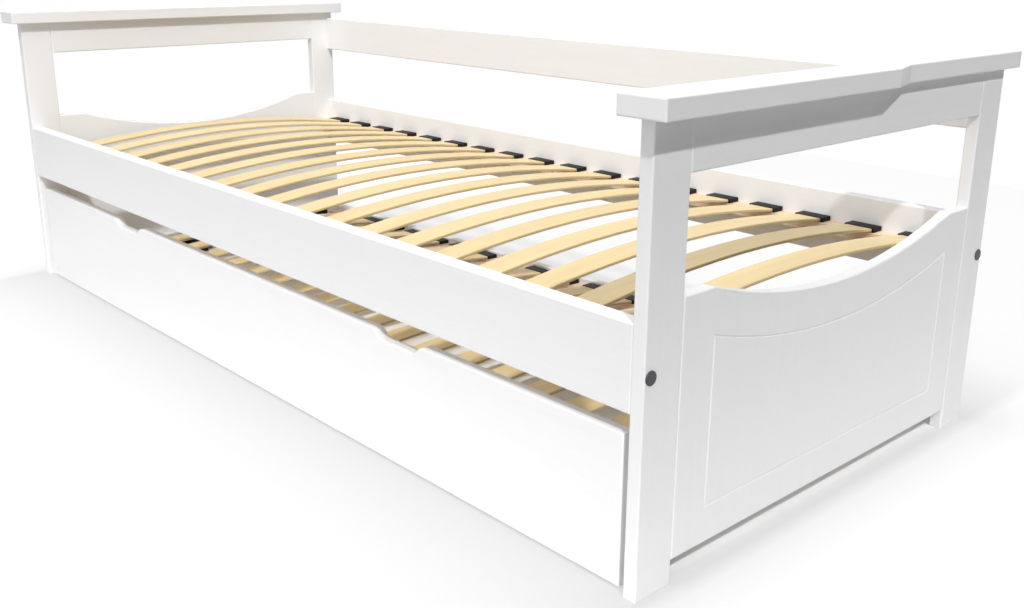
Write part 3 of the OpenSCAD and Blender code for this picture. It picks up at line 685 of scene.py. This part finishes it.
def makeFloor():
    width, depth = room["floor"]
    mesh = bpy.data.meshes.new("floor")
    corners = [(x * width / 2, y * depth / 2, 0.0) for x, y in ((-1, -1), (1, -1), (1, 1), (-1, 1))]
    mesh.from_pydata(corners, [], [(0, 1, 2, 3)])
    floor = bpy.data.objects.new("floor", mesh)
    bpy.context.scene.collection.objects.link(floor)
    # matt painted board: takes the shadow, and whitens away from the bed, which leaves a painted
    # soft shade beside it
    material, tree = newMaterial("mattWhiteBoard")
    direct = seenDirectly(tree)
    apart = vectorMaths(tree, "ABSOLUTE", objectPlace(tree))
    under = floorShelter(tree, apart)
    seen = blendColours(tree, under, toLinear(room["floorSeen"]), toLinear(room["floorUnder"]))
    paint = addNode(tree, "BsdfDiffuse", {
        "Color": blendColours(tree, direct, floorBounce(tree, apart), seen)})
    glow = addNode(tree, "Emission", {
        "Strength": maths(tree, "MULTIPLY", direct, floorLift(tree, apart, under))})
    board = addNode(tree, "AddShader", {0: paint.outputs[0], 1: glow.outputs[0]})
    addNode(tree, "OutputMaterial", {"Surface": board.outputs[0]})
    mesh.materials.append(material)


def makeWorld():
    world = bpy.data.worlds.new("studio")
    bpy.context.scene.world = world
    world.use_nodes = True
    tree = world.node_tree
    tree.nodes.clear()
    way = split(tree, addNode(tree, "TexCoord").outputs["Generated"])
    above = maths(tree, "GREATER_THAN", way["Z"], 0.0)
    ahead = maths(tree, "MAXIMUM", maths(tree, "MULTIPLY", way["Y"], -room["skyFront"]), 0.0)
    window = maths(tree, "MULTIPLY", ahead, above)
    strength = remap(tree, seenDirectly(tree), window, 1.0)
    sky = addNode(tree, "Background", {"Color": (1.0, 1.0, 1.0, 1.0), "Strength": strength})
    addNode(tree, "OutputWorld", {"Surface": sky.outputs[0]})


def makeLamp(name, kind, energy, direction, place=(0.0, 0.0, 0.0), **settings):
    lamp = bpy.data.lights.new(name, kind)
    lamp.energy = energy
    for setting, value in settings.items():
        setattr(lamp, setting, value)
    holder = bpy.data.objects.new(name, lamp)
    holder.location = place
    holder.rotation_euler = Vector(direction).to_track_quat("-Z", "Y").to_euler()
    bpy.context.scene.collection.objects.link(holder)


makeFloor()
makeWorld()
makeLamp("sun", "SUN", room["sun"], room["sunTravel"], angle=math.radians(room["sunAngle"]))
for name, (watts, width, height, place, aim) in lamps.items():
    makeLamp(name, "AREA", watts, Vector(aim) - Vector(place), place,
             shape="RECTANGLE", size=width, size_y=height)
print("room lit")

# camera
eye = {
    "place": (1.8393, -1.4134, 0.8207),
    "turn": 47.07,             # degrees, from +Y towards -X
    "down": 16.60,
    "roll": 0.49,
    "lens": 38.563,
    "shift": (-0.0091, -0.0266),
}
view = bpy.data.cameras.new("eye")
view.sensor_width = 36.0
view.lens = eye["lens"]
view.shift_x, view.shift_y = eye["shift"]
holder = bpy.data.objects.new("eye", view)
bpy.context.scene.collection.objects.link(holder)
turn = Matrix.Rotation(math.radians(eye["turn"]), 4, "Z")
tilt = Matrix.Rotation(math.radians(90 - eye["down"]), 4, "X")
roll = Matrix.Rotation(math.radians(eye["roll"]), 4, "Z")
holder.matrix_world = Matrix.Translation(eye["place"]) @ turn @ tilt @ roll
bpy.context.scene.camera = holder

bpy.context.scene.view_settings.view_transform = "Standard"
print("camera set")
